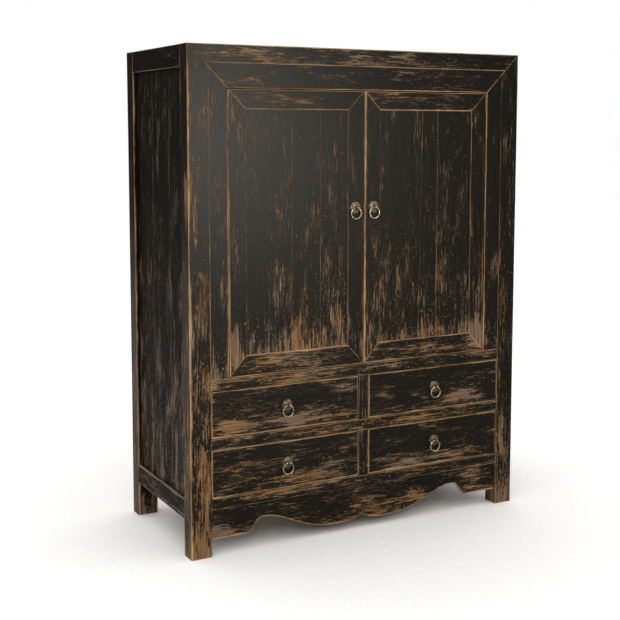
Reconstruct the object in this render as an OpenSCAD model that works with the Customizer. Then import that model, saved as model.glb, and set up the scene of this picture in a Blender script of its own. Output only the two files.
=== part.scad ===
// Two-door armoire over four drawers: a post-and-rail carcase with mitred front frame, a scalloped apron,
// doors that turn on wooden pivots, and brass ring pulls. All sizes are in millimetres.
// X runs to the right, Y runs from front to back and Z runs up. The origin is on the floor,
// below the middle of the whole piece with its pulls.

/* [Overall size] */
// Width across the posts
body_w = 1360; // [1200:10:1500]
// Depth from the front face of the posts to the back face
body_d = 590; // [500:10:650]
// Height from the floor to the top
body_h = 1750; // [1650:10:1850]

/* [Posts and outer frame] */
// Width of a corner post, seen from the front
post_w = 76; // [64:1:84]
// Depth of a corner post, seen from the side
post_d = 62; // [50:1:70]
// Radius worn onto the outer corners of the posts
post_round = 5; // [2:0.5:8]
// Height of the top rails at the front and back
top_rail_h = 60; // [50:1:64]
// Height of the top rails at the sides
side_top_h = 75; // [60:1:90]
// Thickness of the rails at the sides
side_rail_t = 45; // [35:1:50]
// Height of the bottom rails at the sides
side_bottom_h = 70; // [50:1:90]
// Height of the side bottom rails' underside above the floor
side_bottom_z = 130; // [100:1:150]

/* [Front frame] */
// Width of the outer post and inner stile together, which is also the height of the two top rails
frame_w = 144; // [130:1:150]
// Thickness of the inner stiles and the head rail
frame_t = 45; // [40:1:50]
// Thickness of the rails between the front posts
rail_t = 55; // [48:1:60]
// Height of the underside of the rail below the doors
mid_rail_z = 579; // [540:1:620]
// Height of the rail below the doors
mid_rail_h = 39; // [34:1:50]
// Height of the underside of the rail between the drawer rows
drawer_rail_z = 375; // [360:1:390]
// Height of the rail between the drawer rows
drawer_rail_h = 37; // [30:1:44]
// Height of the underside of the rail below the drawers
bottom_rail_z = 165; // [155:1:175]
// Height of the rail below the drawers
bottom_rail_h = 37; // [30:1:44]
// Width of the upright between the left and right drawers
muntin_w = 40; // [34:1:50]
// Thickness of that upright
muntin_t = 25; // [20:1:30]

/* [Apron] */
// Thickness of the apron board
apron_t = 18; // [14:1:24]
// Distance of the apron behind the front face of the posts
apron_recess = 10; // [4:1:14]
// Height of the flat ends above the floor
apron_end_z = 58; // [50:1:70]
// Height of the crest beside each flat end
apron_crest_z = 108; // [95:1:120]
// Height of the belly each side of the middle
apron_belly_z = 34; // [28:1:45]
// Height of the cusp in the middle
apron_cusp_z = 55; // [46:1:65]

/* [Panels and shelf] */
// Thickness of the rails between the rear posts
rear_rail_t = 40; // [34:1:46]
// Distance of the side panels behind the outer faces of the posts
side_recess = 15; // [8:1:18]
// Thickness of the side panels
side_panel_t = 12; // [10:1:14]
// Thickness of the back panels
back_panel_t = 10; // [8:1:12]
// Distance of the back panels behind the back faces of the posts
back_recess = 14; // [10:1:16]
// Thickness of the top boards
top_panel_t = 14; // [12:1:18]
// Distance of the top boards below the top rails
top_recess = 3; // [1:0.5:5]
// How far a panel's edges go into their grooves
groove = 8; // [6:1:9]
// Thickness of the cupboard's floor
floor_t = 14; // [12:1:18]
// Height of the shelf's underside
shelf_z = 1110; // [900:10:1300]
// Thickness of the shelf
shelf_t = 16; // [14:1:20]

/* [Doors] */
// Thickness of a door's frame
door_t = 30; // [26:1:34]
// Width of a door's stiles
door_stile_w = 65; // [55:1:75]
// Height of a door's top rail
door_top_h = 67; // [55:1:75]
// Height of a door's bottom rail
door_bottom_h = 72; // [60:1:80]
// Gap round the doors and between them
door_gap = 3; // [2.5:0.1:4]
// Distance of the doors behind the front face of the posts
door_recess = 2; // [0:0.5:3]
// Distance of the pivot from the door's front face and outer edge, and the radius of that edge
pivot_in = 9; // [8:0.5:11]
// Radius of the wooden pivot pins
pivot_r = 6.5; // [5:0.5:7]
// Thickness of the door panels
door_panel_t = 12; // [10:1:14]
// Distance of the door panels behind the front of their frame
door_panel_recess = 1.5; // [0.5:0.5:3]
// Radius worn onto the front edges of the doors and drawers
front_round = 4; // [2:0.5:6]

/* [Drawers] */
// Thickness of a drawer front
front_t = 20; // [16:1:24]
// Gap round the drawer fronts
drawer_gap = 2.5; // [2:0.1:3.5]
// Distance of the drawer fronts behind the front face of the posts
drawer_recess = 1; // [0:0.5:3]
// Thickness of the drawer sides
drawer_side_t = 12; // [10:1:14]
// Thickness of the drawer bottoms
drawer_bottom_t = 8; // [6:1:10]
// Length of a drawer from front to back
drawer_len = 500; // [420:5:520]

/* [Ring pulls] */
// Outer diameter of a ring
ring_d = 45; // [40:1:50]
// Diameter of the ring's bar
ring_bar = 4.5; // [3.5:0.5:5]
// Diameter of the round backplate
plate_d = 42; // [36:1:46]
// Thickness of the backplate at its rim
plate_t = 1.2; // [0.8:0.1:2]
// Rise of the backplate's domed middle
plate_dome = 1.4; // [0:0.1:2]
// Distance of a door's pull from the middle of the armoire
door_pull_x = 38; // [34:1:44]
// Height of the door pulls' staples
door_pull_z = 1190; // [1100:5:1250]
// Distance of a drawer's staple above the middle of its front
drawer_pull_up = 6; // [0:1:12]

/* [Hidden] */

$fn = 48;
LEFT = -1;
RIGHT = 1;
lacquer = "#262521";
worn_lacquer = "#4a3a28";
bare_wood = "#8a6a45";
brass = "#9c8a5e";

// Ring pull: the staple's eye stands off the backplate and the ring's bar runs through it.
ring_r = ring_d / 2 - ring_bar / 2;
staple_r = 1.6;
eye_hole_r = ring_bar / 2 + 0.75;
eye_r = eye_hole_r + staple_r;
plate_h = plate_t + plate_dome;
eye_sink = 0.6;
eye_out = plate_h + eye_r + staple_r - eye_sink;
shank_r = 2;
clinch_len = 16;
clinch_t = 1.5;
ring_bar_fn = 32;

// The pulls stand out of the front, so the middle of the whole piece lies a little forward of the carcase's.
pull_out = eye_out + eye_r + staple_r - drawer_recess;
front_y = (pull_out - body_d) / 2;

// Half sizes, measured from the middle of the front
half_w = body_w / 2;
post_in = half_w - post_w;
opening_in = half_w - frame_w;
mid_top = mid_rail_z + mid_rail_h;
drawer_rail_top = drawer_rail_z + drawer_rail_h;
bottom_rail_top = bottom_rail_z + bottom_rail_h;
side_bottom_top = side_bottom_z + side_bottom_h;
opening_top = body_h - frame_w;
back_face = body_d - rear_rail_t;
panel_back = body_d - back_recess;
inner_back = panel_back - back_panel_t;
side_in = half_w - side_recess - side_panel_t;

// Tenons between rails and posts
tenon_len = 32;
tenon_t = 14;
tenon_shoulder = 6;
tenon_set = 20;
stub = 10;
tongue_set = 4;

// Doors
door_z = mid_top + door_gap;
door_h = opening_top - door_gap - door_z;
door_w = opening_in - 1.5 * door_gap;
pivot_x = opening_in - door_gap - pivot_in;
pivot_y = door_recess + pivot_in;
pivot_top_len = 20;
pivot_bottom_len = 14;
pivot_block = 2 * pivot_in;
pivot_play = 0.08;
pivot_end_play = 1;
door_tenon_len = 46;
door_tenon_t = 10;
door_tenon_shoulder = 14;
door_tenon_set = 6;
door_panel_edge = 6;
batten_h = 34;
batten_t = 12;

// Shelf, clear of the doors in front and of the back, and the strips that carry it
shelf_front_gap = 2;
shelf_back_gap = 4;
bearer = 22;

// Drawers
drawer_open_w = post_in - muntin_w / 2;
drawer_x = muntin_w / 2 + drawer_open_w / 2;
drawer_front_w = drawer_open_w - 2 * drawer_gap;
box_inset = 1;
box_w = drawer_front_w - 2 * box_inset;
box_lap = 12;
box_lift = 0.3;
box_headroom = 12;
bottom_up = 6;
bottom_edge = 5;
runner_h = 22;
runner_reach = 16;
guide_h = 25;
guide_play = 1;

// Lower edge of the apron, as distances from its middle
belly_u = 77;
crest_u = 393;
ogee_u = 462;
cusp_steps = 6;
wave_steps = 20;
ogee_steps = 10;

// Height of the apron's lower edge at distance u from the middle
function apron_z(u) =
    u <= belly_u ? apron_belly_z + (apron_cusp_z - apron_belly_z) * pow(1 - u / belly_u, 2)
    : u <= crest_u ? ease(apron_belly_z, apron_crest_z, pow((u - belly_u) / (crest_u - belly_u), 1.45))
    : u <= ogee_u ? ease(apron_crest_z, apron_end_z, pow((u - crest_u) / (ogee_u - crest_u), 1.8))
    : apron_end_z;

// A smooth step from a to b as t goes from 0 to 1
function ease(a, b, t) = a + (b - a) * (1 - cos(180 * t)) / 2;

// Distances from the middle at which the lower edge gets a point, out to the post
function apron_stations() = concat(
    [for (i = [0 : cusp_steps - 1]) belly_u * i / cusp_steps],
    [for (i = [0 : wave_steps - 1]) belly_u + (crest_u - belly_u) * i / wave_steps],
    [for (i = [0 : ogee_steps]) crest_u + (ogee_u - crest_u) * i / ogee_steps]
);

// ---- Helpers ----

// Moves a piece from the front face of the carcase, where it is drawn, to its place
module at_front() {
    translate([0, front_y, 0]) children();
}

// Draws a right-hand piece on the right, or mirrored on the left
module on_side(side) {
    mirror([side == LEFT ? 1 : 0, 0, 0]) children();
}

// A block between two opposite corners
module block(low, high) {
    translate(low) cube(high - low);
}

// An outline in X and Z, made solid from y0 to y1
module plate_xz(y0, y1, points) {
    translate([0, y1, 0])
        rotate([90, 0, 0])
            linear_extrude(y1 - y0) polygon(points);
}

// What is cut from a square corner at the origin to leave it round, with the wood towards +x and +y
module corner_waste(r) {
    difference() {
        translate([-1, -1]) square(r + 1);
        translate([r, r]) circle(r = r);
    }
}

// Outline of a bar w wide and d deep, its two front corners rounded by left_r and right_r
module bar_section(w, d, left_r, right_r) {
    difference() {
        square([w, d]);
        if (left_r > 0) corner_waste(left_r);
        if (right_r > 0) translate([w, 0]) mirror([1, 0]) corner_waste(right_r);
    }
}

// A bar along X, its front at y, from x0 to x1 and from z up to z + h; the lower and upper front corners
// are rounded by low_r and high_r
module bar_along_x(x0, x1, y, t, z, h, low_r, high_r) {
    translate([x1, y, z])
        rotate([0, -90, 0])
            linear_extrude(x1 - x0) bar_section(h, t, low_r, high_r);
}

// A rail along X between the posts with a tenon on each end; y0 and y1 are its front and back faces
module tenoned_rail(z, h, y0, y1, len) {
    block([-post_in, y0, z], [post_in, y1, z + h]);
    block(
        [-post_in - len, y0 + (y1 - y0 - tenon_t) / 2, z + tenon_shoulder],
        [post_in + len, y0 + (y1 - y0 + tenon_t) / 2, z + h - tenon_shoulder]
    );
}

// ---- Carcase ----

// The tenon that a post sends up into the end of its top rail, drawn for the right front post
module post_tenon() {
    x = half_w - top_rail_h;
    block(
        [x + tenon_shoulder, tenon_set, body_h - post_w],
        [x + tenon_len, tenon_set + tenon_t, body_h - 2 * tenon_shoulder]
    );
}

// A post before its mortises are cut: square, with a round outer corner and a mitred top
module post_blank() {
    difference() {
        translate([post_in, 0, 0])
            linear_extrude(body_h) bar_section(post_w, post_d, 0, post_round);
        plate_xz(-1, post_d + 1, [
            [half_w, body_h], [half_w, body_h + 1],
            [post_in - 1, body_h + 1], [post_in - 1, body_h - post_w - 1]
        ]);
    }
    post_tenon();
}

// Everything that is let into the right-hand posts
module post_mortises() {
    mid_rail_shape();
    drawer_rail_shape();
    bottom_rail_shape();
    apron_shape();
    side_rail_shape(side_bottom_z, side_bottom_h);
    side_rail_shape(body_h - side_top_h, side_top_h);
    side_panel_shape();
    rear_rails_shape();
    back_panels_shape();
}

module post_front(side) {
    color(worn_lacquer) at_front() on_side(side)
        difference() {
            post_blank();
            post_mortises();
        }
}

module post_rear(side) {
    color(worn_lacquer) at_front() on_side(side)
        difference() {
            translate([0, body_d, 0]) mirror([0, 1, 0]) post_blank();
            post_mortises();
        }
}

// Top rail at the front; its ends are mitred onto the posts
module top_rail_shape() {
    difference() {
        plate_xz(0, post_d, [
            [-half_w, body_h], [-half_w + top_rail_h, body_h - top_rail_h],
            [half_w - top_rail_h, body_h - top_rail_h], [half_w, body_h]
        ]);
        for (side = [LEFT, RIGHT])
            on_side(side) {
                post_tenon();
                side_rail_shape(body_h - side_top_h, side_top_h);
            }
        top_panel_shape();
    }
}

module top_rail_front() {
    color(lacquer) at_front() top_rail_shape();
}

// A rail between the front and back post of the right side, with a stub tenon on each end
module side_rail_shape(z, h) {
    block([half_w - side_rail_t, post_d, z], [half_w, body_d - post_d, z + h]);
    block(
        [half_w - side_rail_t + tenon_t, post_d - stub, z + tenon_shoulder],
        [half_w - side_rail_t + 2 * tenon_t, body_d - post_d + stub, z + h - tenon_shoulder]
    );
}

module side_top_rails() {
    color(lacquer) at_front()
        for (side = [LEFT, RIGHT])
            on_side(side)
                difference() {
                    side_rail_shape(body_h - side_top_h, side_top_h);
                    side_panel_shape();
                    top_panel_shape();
                }
}

module side_bottom_rails() {
    color(lacquer) at_front()
        for (side = [LEFT, RIGHT])
            on_side(side)
                difference() {
                    side_rail_shape(side_bottom_z, side_bottom_h);
                    side_panel_shape();
                }
}

// The rails at the back below the top one: below the cupboard, behind the upper runners, and at the bottom
module rear_rails_shape() {
    tenoned_rail(mid_rail_z, mid_rail_h, back_face, body_d, tenon_len);
    block([-post_in, back_face, drawer_rail_z], [post_in, inner_back - 1, drawer_rail_top]);
    tenoned_rail(bottom_rail_z, bottom_rail_h, back_face, body_d, tenon_len);
}

module rear_rails() {
    color(lacquer) at_front() {
        difference() {
            translate([0, body_d, 0]) mirror([0, 1, 0]) top_rail_shape();
            back_panels_shape();
        }
        difference() {
            rear_rails_shape();
            back_panels_shape();
            cupboard_floor_shape();
        }
    }
}

// Boards of the top, with a tongue all round
module top_panel_shape() {
    z = body_h - top_recess - top_panel_t;
    x = half_w - side_rail_t;
    block([-x, post_d, z], [x, body_d - post_d, z + top_panel_t]);
    block([-x - groove, post_d - groove, z], [x + groove, body_d - post_d + groove, z + top_panel_t / 2]);
}

module top_panel() {
    color(worn_lacquer) at_front() top_panel_shape();
}

// Inner stile beside the doors: it stands on the rail below them and is mitred to the head rail
module inner_stile(side) {
    color(worn_lacquer) at_front() on_side(side) {
        plate_xz(0, frame_t, [
            [opening_in, mid_top], [post_in, mid_top],
            [post_in, body_h - post_w], [opening_in, opening_top]
        ]);
        inner_stile_tenon();
    }
}

// The stub under the right inner stile that goes into the rail below the doors
module inner_stile_tenon() {
    block(
        [opening_in + tenon_set, tenon_set - stub / 2, mid_top - stub],
        [post_in - tenon_set, tenon_set + stub / 2, mid_top]
    );
}

module head_rail() {
    x = half_w - top_rail_h;
    color(lacquer) at_front()
        difference() {
            plate_xz(0, frame_t, [
                [-x, body_h - top_rail_h], [-opening_in, opening_top],
                [opening_in, opening_top], [x, body_h - top_rail_h]
            ]);
            pivot_sockets(opening_top - 1, pivot_top_len - door_gap + pivot_end_play + 1);
        }
}

// Sockets for the doors' pivot pins, as a pair of holes going up from z
module pivot_sockets(z, depth) {
    for (side = [LEFT, RIGHT])
        on_side(side)
            translate([pivot_x, pivot_y, z]) cylinder(h = depth, r = pivot_r + pivot_play);
}

module mid_rail_shape() {
    tenoned_rail(mid_rail_z, mid_rail_h, 0, rail_t, tenon_len);
}

module mid_rail() {
    socket = pivot_bottom_len - door_gap + pivot_end_play;
    color(lacquer) at_front()
        difference() {
            mid_rail_shape();
            pivot_sockets(mid_top - socket, socket + 1);
            for (side = [LEFT, RIGHT]) on_side(side) inner_stile_tenon();
            muntin_shape();
            cupboard_floor_shape();
        }
}

module drawer_rail_shape() {
    tenoned_rail(drawer_rail_z, drawer_rail_h, 0, rail_t, tenon_len);
}

module drawer_rail() {
    color(lacquer) at_front()
        difference() {
            drawer_rail_shape();
            muntin_shape();
        }
}

module bottom_rail_shape() {
    tenoned_rail(bottom_rail_z, bottom_rail_h, 0, rail_t, tenon_len);
}

module bottom_rail() {
    color(lacquer) at_front()
        difference() {
            bottom_rail_shape();
            muntin_shape();
            apron_shape();
        }
}

// Upright between the drawers: it crosses the drawer rail in a notch and has a stub tenon at each end
module muntin_shape() {
    half = muntin_w / 2;
    block([-half, 0, bottom_rail_top], [half, muntin_t, mid_rail_z]);
    block(
        [-half + tenon_shoulder, tenon_shoulder, bottom_rail_top - stub],
        [half - tenon_shoulder, muntin_t - tenon_shoulder, mid_rail_z + stub]
    );
}

module muntin() {
    color(lacquer) at_front() muntin_shape();
}

// Apron below the bottom rail, tongued into it and into the posts
module apron_shape() {
    stations = apron_stations();
    last = len(stations) - 1;
    right = [for (u = stations) [u, apron_z(u)]];
    left = [for (i = [last : -1 : 1]) [-stations[i], apron_z(stations[i])]];
    ends = [
        [post_in, apron_end_z], [post_in, bottom_rail_z],
        [-post_in, bottom_rail_z], [-post_in, apron_end_z]
    ];
    y0 = apron_recess + tongue_set;
    y1 = apron_recess + apron_t - tongue_set;
    plate_xz(apron_recess, apron_recess + apron_t, concat(right, ends, left));
    block([-post_in, y0, bottom_rail_z - 1], [post_in, y1, bottom_rail_z + groove]);
    for (side = [LEFT, RIGHT])
        on_side(side)
            block([post_in - 1, y0, apron_end_z + groove], [post_in + groove, y1, bottom_rail_z + groove]);
}

module apron() {
    color(worn_lacquer) at_front() apron_shape();
}

// Boards of the right side, standing in grooves in the posts and side rails
module side_panel_shape() {
    block(
        [side_in, post_d - groove, side_bottom_top - groove],
        [half_w - side_recess, body_d - post_d + groove, body_h - side_top_h + groove]
    );
}

module side_panel(side) {
    color(lacquer) at_front() on_side(side) side_panel_shape();
}

// Boards of the back, above and below the rail at the cupboard's floor
module back_panels_shape() {
    block(
        [-post_in - groove, inner_back, mid_top - groove],
        [post_in + groove, panel_back, body_h - top_rail_h + groove]
    );
    block(
        [-post_in - groove, inner_back, bottom_rail_top - groove],
        [post_in + groove, panel_back, mid_rail_z + groove]
    );
}

module back_panels() {
    color(worn_lacquer) at_front() back_panels_shape();
}

// ---- Inside the carcase ----

// A board that fills the inside, notched round the posts; y0 and y1 are its front and back edges
module inside_board(z, t, y0, y1) {
    x = side_in;
    block([-x, post_d, z], [x, body_d - post_d, z + t]);
    block([-post_in, y0, z], [post_in, y1, z + t]);
}

module cupboard_floor_shape() {
    inside_board(mid_top - floor_t, floor_t, rail_t, back_face);
    block(
        [-post_in, rail_t - groove, mid_top - floor_t + tongue_set],
        [post_in, back_face + groove, mid_top - tongue_set]
    );
}

module cupboard_floor() {
    color(bare_wood) at_front() cupboard_floor_shape();
}

module shelf() {
    color(bare_wood) at_front()
        inside_board(shelf_z, shelf_t, post_d + shelf_front_gap, inner_back - shelf_back_gap);
}

// Strips on the side panels that carry the shelf and the cupboard's floor
module bearers() {
    color(bare_wood) at_front()
        for (side = [LEFT, RIGHT])
            for (top = [shelf_z, mid_top - floor_t])
                on_side(side)
                    block([side_in - bearer, post_d, top - bearer], [side_in, body_d - post_d, top]);
}

// Runners with raised guides: one at each side and one in the middle of each drawer row
module drawer_runners() {
    side_x = half_w - side_rail_t;
    guide_side = post_in + guide_play;
    guide_mid = muntin_w / 2 - guide_play;
    color(bare_wood) at_front()
        for (top = [bottom_rail_top, drawer_rail_top]) {
            block(
                [-muntin_w / 2 - runner_reach, rail_t, top - runner_h],
                [muntin_w / 2 + runner_reach, back_face, top]
            );
            block([-guide_mid, rail_t, top - 1], [guide_mid, back_face, top + guide_h]);
            for (side = [LEFT, RIGHT])
                on_side(side) {
                    block([post_in - runner_reach, rail_t, top - runner_h], [post_in, back_face, top]);
                    block([post_in - 1, post_d, top - runner_h], [side_x, body_d - post_d, top]);
                    block([guide_side, post_d, top - 1], [side_x, body_d - post_d, top + guide_h]);
                }
        }
}

// ---- Doors, drawn for the right-hand side ----

// The outer and inner edges of the right door's frame
door_hinge_x = opening_in - door_gap;
door_meet_x = door_hinge_x - door_w;
door_top = door_z + door_h;
panel_low = door_z + door_bottom_h;
panel_high = door_top - door_top_h;

// A bar as deep as the door with its front corners rounded, from x0 to x1 over the door's height
module door_upright(x0, x1, left_r, right_r) {
    translate([x0, door_recess, door_z])
        linear_extrude(door_h) bar_section(x1 - x0, door_t, left_r, right_r);
}

// The panel with its edges in the frame's grooves
module door_panel_shape() {
    y = door_recess + door_panel_recess;
    x0 = door_meet_x + door_stile_w;
    x1 = door_hinge_x - door_stile_w;
    block([x0, y, panel_low], [x1, y + door_panel_t, panel_high]);
    block(
        [x0 - door_panel_edge, y + tongue_set, panel_low - door_panel_edge],
        [x1 + door_panel_edge, y + door_panel_t - tongue_set, panel_high + door_panel_edge]
    );
}

// The rails' tenons, which go into both stiles
module door_tenons() {
    y = door_recess + door_t - door_tenon_set - door_tenon_t;
    for (rail = [[door_z, panel_low], [panel_high, door_top]])
        block(
            [door_meet_x + door_stile_w - door_tenon_len, y, rail[0] + door_tenon_shoulder],
            [door_hinge_x - door_stile_w + door_tenon_len, y + door_tenon_t, rail[1] - door_tenon_shoulder]
        );
}

// Pins above and below the hinge stile, on which the door turns
module pivot_pins() {
    translate([pivot_x, pivot_y, door_z - pivot_bottom_len])
        cylinder(h = pivot_bottom_len + 1, r = pivot_r);
    translate([pivot_x, pivot_y, door_top - 1])
        cylinder(h = pivot_top_len + 1, r = pivot_r);
}

// Outline of the hinge stile: full height at the pivots and mitred to the rails from there on
function hinge_stile_outline() =
    let (
        x_in = door_hinge_x - door_stile_w,
        x_block = door_hinge_x - pivot_block,
        low = door_z + door_bottom_h * pivot_block / door_stile_w,
        high = door_top - door_top_h * pivot_block / door_stile_w
    )
    [
        [door_hinge_x, door_z], [door_hinge_x, door_top], [x_block, door_top], [x_block, high],
        [x_in, panel_high], [x_in, panel_low], [x_block, low], [x_block, door_z]
    ];

module door_hinge_stile(side) {
    color(worn_lacquer) at_front() on_side(side) {
        difference() {
            intersection() {
                door_upright(door_hinge_x - door_stile_w, door_hinge_x, 0, pivot_in);
                plate_xz(0, body_d, hinge_stile_outline());
            }
            door_tenons();
            door_panel_shape();
        }
        pivot_pins();
    }
}

// Outline of the meeting stile, mitred to the rails from its outer corners
function meeting_stile_outline() =
    let (x_in = door_meet_x + door_stile_w)
    [[door_meet_x, door_z], [x_in, panel_low], [x_in, panel_high], [door_meet_x, door_top]];

module door_meeting_stile(side) {
    color(worn_lacquer) at_front() on_side(side)
        difference() {
            intersection() {
                door_upright(door_meet_x, door_meet_x + door_stile_w, front_round, 0);
                plate_xz(0, body_d, meeting_stile_outline());
            }
            door_tenons();
            door_panel_shape();
            staple_hole(door_pull_x, door_pull_z, door_recess, door_t);
        }
}

// A door rail with its tenons, between the mitres; it lies from z up to z + h, and low_r and high_r round
// its lower and upper front corners
module door_rail_shape(z, h, low_r, high_r) {
    x0 = door_meet_x;
    x1 = door_hinge_x;
    difference() {
        bar_along_x(x0, x1, door_recess, door_t, z, h, low_r, high_r);
        plate_xz(0, body_d, hinge_stile_outline());
        plate_xz(0, body_d, meeting_stile_outline());
        door_panel_shape();
    }
    intersection() {
        door_tenons();
        block([x0, 0, z], [x1, body_d, z + h]);
    }
}

module door_top_rail(side) {
    color(lacquer) at_front() on_side(side) door_rail_shape(panel_high, door_top_h, 0, front_round);
}

module door_bottom_rail(side) {
    color(worn_lacquer) at_front() on_side(side) door_rail_shape(door_z, door_bottom_h, front_round, 0);
}

module door_panel(side) {
    color(lacquer) at_front() on_side(side) door_panel_shape();
}

// Two battens across the back of the panel
module door_battens(side) {
    y = door_recess + door_panel_recess + door_panel_t;
    color(bare_wood) at_front() on_side(side)
        for (z = [panel_low + door_h / 4, panel_high - door_h / 4])
            block(
                [door_meet_x + door_stile_w, y, z - batten_h / 2],
                [door_hinge_x - door_stile_w, y + batten_t, z + batten_h / 2]
            );
}

// ---- Ring pulls ----

// The hole that a staple's shank goes through
module staple_hole(x, z, y, t) {
    translate([x, y + t + 1, z]) rotate([90, 0, 0]) cylinder(h = t + 2, r = shank_r);
}

// Backplate and staple at x and z on a front face at y, through wood t thick
module pull_shape(x, z, y, t) {
    translate([x, y, z]) {
        rotate([90, 0, 0])
            rotate_extrude($fn = 64)
                polygon([
                    [0, 0], [plate_d / 2, 0], [plate_d / 2, plate_t],
                    [plate_d / 4, plate_h - 0.2], [shank_r, plate_h], [0, plate_h]
                ]);
        translate([0, -eye_out, 0])
            rotate([0, 90, 0])
                rotate_extrude($fn = 48) translate([eye_r, 0]) circle(r = staple_r, $fn = 24);
        translate([0, t + 0.5, 0]) rotate([90, 0, 0]) cylinder(h = t + plate_h + 1, r = shank_r);
        translate([-clinch_len / 2, t, -shank_r]) cube([clinch_len, clinch_t, 2 * shank_r]);
    }
}

// Ring hanging from the staple's eye
module ring_shape(x, z, y) {
    translate([x, y - eye_out, z - ring_r])
        rotate([90, 0, 0])
            rotate_extrude($fn = 96) translate([ring_r, 0]) circle(r = ring_bar / 2, $fn = ring_bar_fn);
}

module door_pull(side) {
    color(brass) at_front() on_side(side) pull_shape(door_pull_x, door_pull_z, door_recess, door_t);
}

module door_ring(side) {
    color(brass) at_front() on_side(side) ring_shape(door_pull_x, door_pull_z, door_recess);
}

// ---- Drawers, drawn for the right-hand side; low and high are the bottom and top of the opening ----

function drawer_mid(low, high) = (low + high) / 2 + drawer_pull_up;

module drawer_front(side, low, high) {
    z0 = low + drawer_gap;
    h = high - low - 2 * drawer_gap;
    x0 = drawer_x - drawer_front_w / 2;
    color(worn_lacquer) at_front() on_side(side)
        difference() {
            intersection() {
                translate([x0, drawer_recess, z0])
                    linear_extrude(h) bar_section(drawer_front_w, front_t, front_round, front_round);
                bar_along_x(x0, x0 + drawer_front_w, drawer_recess, front_t, z0, h, front_round, front_round);
            }
            drawer_sides_shape(low, high);
            drawer_bottom_shape(low);
            staple_hole(drawer_x, drawer_mid(low, high), drawer_recess, front_t);
        }
}

// The two sides, lapped into the back of the front
module drawer_sides_shape(low, high) {
    y = drawer_recess + front_t - box_lap;
    for (x = [drawer_x - box_w / 2, drawer_x + box_w / 2 - drawer_side_t])
        block(
            [x, y, low + box_lift],
            [x + drawer_side_t, drawer_recess + drawer_len, high - box_headroom]
        );
}

// The bottom, in grooves in the front and sides and under the back
module drawer_bottom_shape(low) {
    z = low + box_lift + bottom_up;
    x = box_w / 2 - drawer_side_t + bottom_edge;
    block(
        [drawer_x - x, drawer_recess + front_t - bottom_edge, z],
        [drawer_x + x, drawer_recess + drawer_len, z + drawer_bottom_t]
    );
}

module drawer_box(side, low, high) {
    back = drawer_recess + drawer_len;
    z = low + box_lift + bottom_up + drawer_bottom_t;
    color(bare_wood) at_front() on_side(side)
        difference() {
            union() {
                drawer_sides_shape(low, high);
                block(
                    [drawer_x - box_w / 2 + 1, back - drawer_side_t, z],
                    [drawer_x + box_w / 2 - 1, back, high - box_headroom]
                );
            }
            drawer_bottom_shape(low);
        }
}

module drawer_bottom(side, low) {
    color(bare_wood) at_front() on_side(side) drawer_bottom_shape(low);
}

module drawer_pull(side, low, high) {
    color(brass) at_front() on_side(side)
        pull_shape(drawer_x, drawer_mid(low, high), drawer_recess, front_t);
}

module drawer_ring(side, low, high) {
    color(brass) at_front() on_side(side) ring_shape(drawer_x, drawer_mid(low, high), drawer_recess);
}

// Bottom and top of the openings of the two drawer rows
upper = [drawer_rail_top, mid_rail_z];
lower = [bottom_rail_top, drawer_rail_z];

// ---- The whole piece ----

post_front(LEFT);  // post_front_left
post_front(RIGHT);  // post_front_right
post_rear(LEFT);  // post_rear_left
post_rear(RIGHT);  // post_rear_right
top_rail_front();
side_top_rails();
rear_rails();
top_panel();
inner_stile(LEFT);  // inner_stile_left
inner_stile(RIGHT);  // inner_stile_right
head_rail();
mid_rail();
drawer_rail();
bottom_rail();
muntin();
apron();
side_panel(LEFT);  // side_panel_left
side_panel(RIGHT);  // side_panel_right
side_bottom_rails();
back_panels();
cupboard_floor();
shelf();
bearers();
drawer_runners();

door_hinge_stile(LEFT);  // door_left_hinge_stile
door_meeting_stile(LEFT);  // door_left_meeting_stile
door_top_rail(LEFT);  // door_left_top_rail
door_bottom_rail(LEFT);  // door_left_bottom_rail
door_panel(LEFT);  // door_left_panel
door_battens(LEFT);  // door_left_battens
door_pull(LEFT);  // door_left_pull
door_ring(LEFT);  // door_left_ring

door_hinge_stile(RIGHT);  // door_right_hinge_stile
door_meeting_stile(RIGHT);  // door_right_meeting_stile
door_top_rail(RIGHT);  // door_right_top_rail
door_bottom_rail(RIGHT);  // door_right_bottom_rail
door_panel(RIGHT);  // door_right_panel
door_battens(RIGHT);  // door_right_battens
door_pull(RIGHT);  // door_right_pull
door_ring(RIGHT);  // door_right_ring

drawer_front(LEFT, upper[0], upper[1]);  // drawer_upper_left_front
drawer_box(LEFT, upper[0], upper[1]);  // drawer_upper_left_box
drawer_bottom(LEFT, upper[0]);  // drawer_upper_left_bottom
drawer_pull(LEFT, upper[0], upper[1]);  // drawer_upper_left_pull
drawer_ring(LEFT, upper[0], upper[1]);  // drawer_upper_left_ring

drawer_front(RIGHT, upper[0], upper[1]);  // drawer_upper_right_front
drawer_box(RIGHT, upper[0], upper[1]);  // drawer_upper_right_box
drawer_bottom(RIGHT, upper[0]);  // drawer_upper_right_bottom
drawer_pull(RIGHT, upper[0], upper[1]);  // drawer_upper_right_pull
drawer_ring(RIGHT, upper[0], upper[1]);  // drawer_upper_right_ring

drawer_front(LEFT, lower[0], lower[1]);  // drawer_lower_left_front
drawer_box(LEFT, lower[0], lower[1]);  // drawer_lower_left_box
drawer_bottom(LEFT, lower[0]);  // drawer_lower_left_bottom
drawer_pull(LEFT, lower[0], lower[1]);  // drawer_lower_left_pull
drawer_ring(LEFT, lower[0], lower[1]);  // drawer_lower_left_ring

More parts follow.
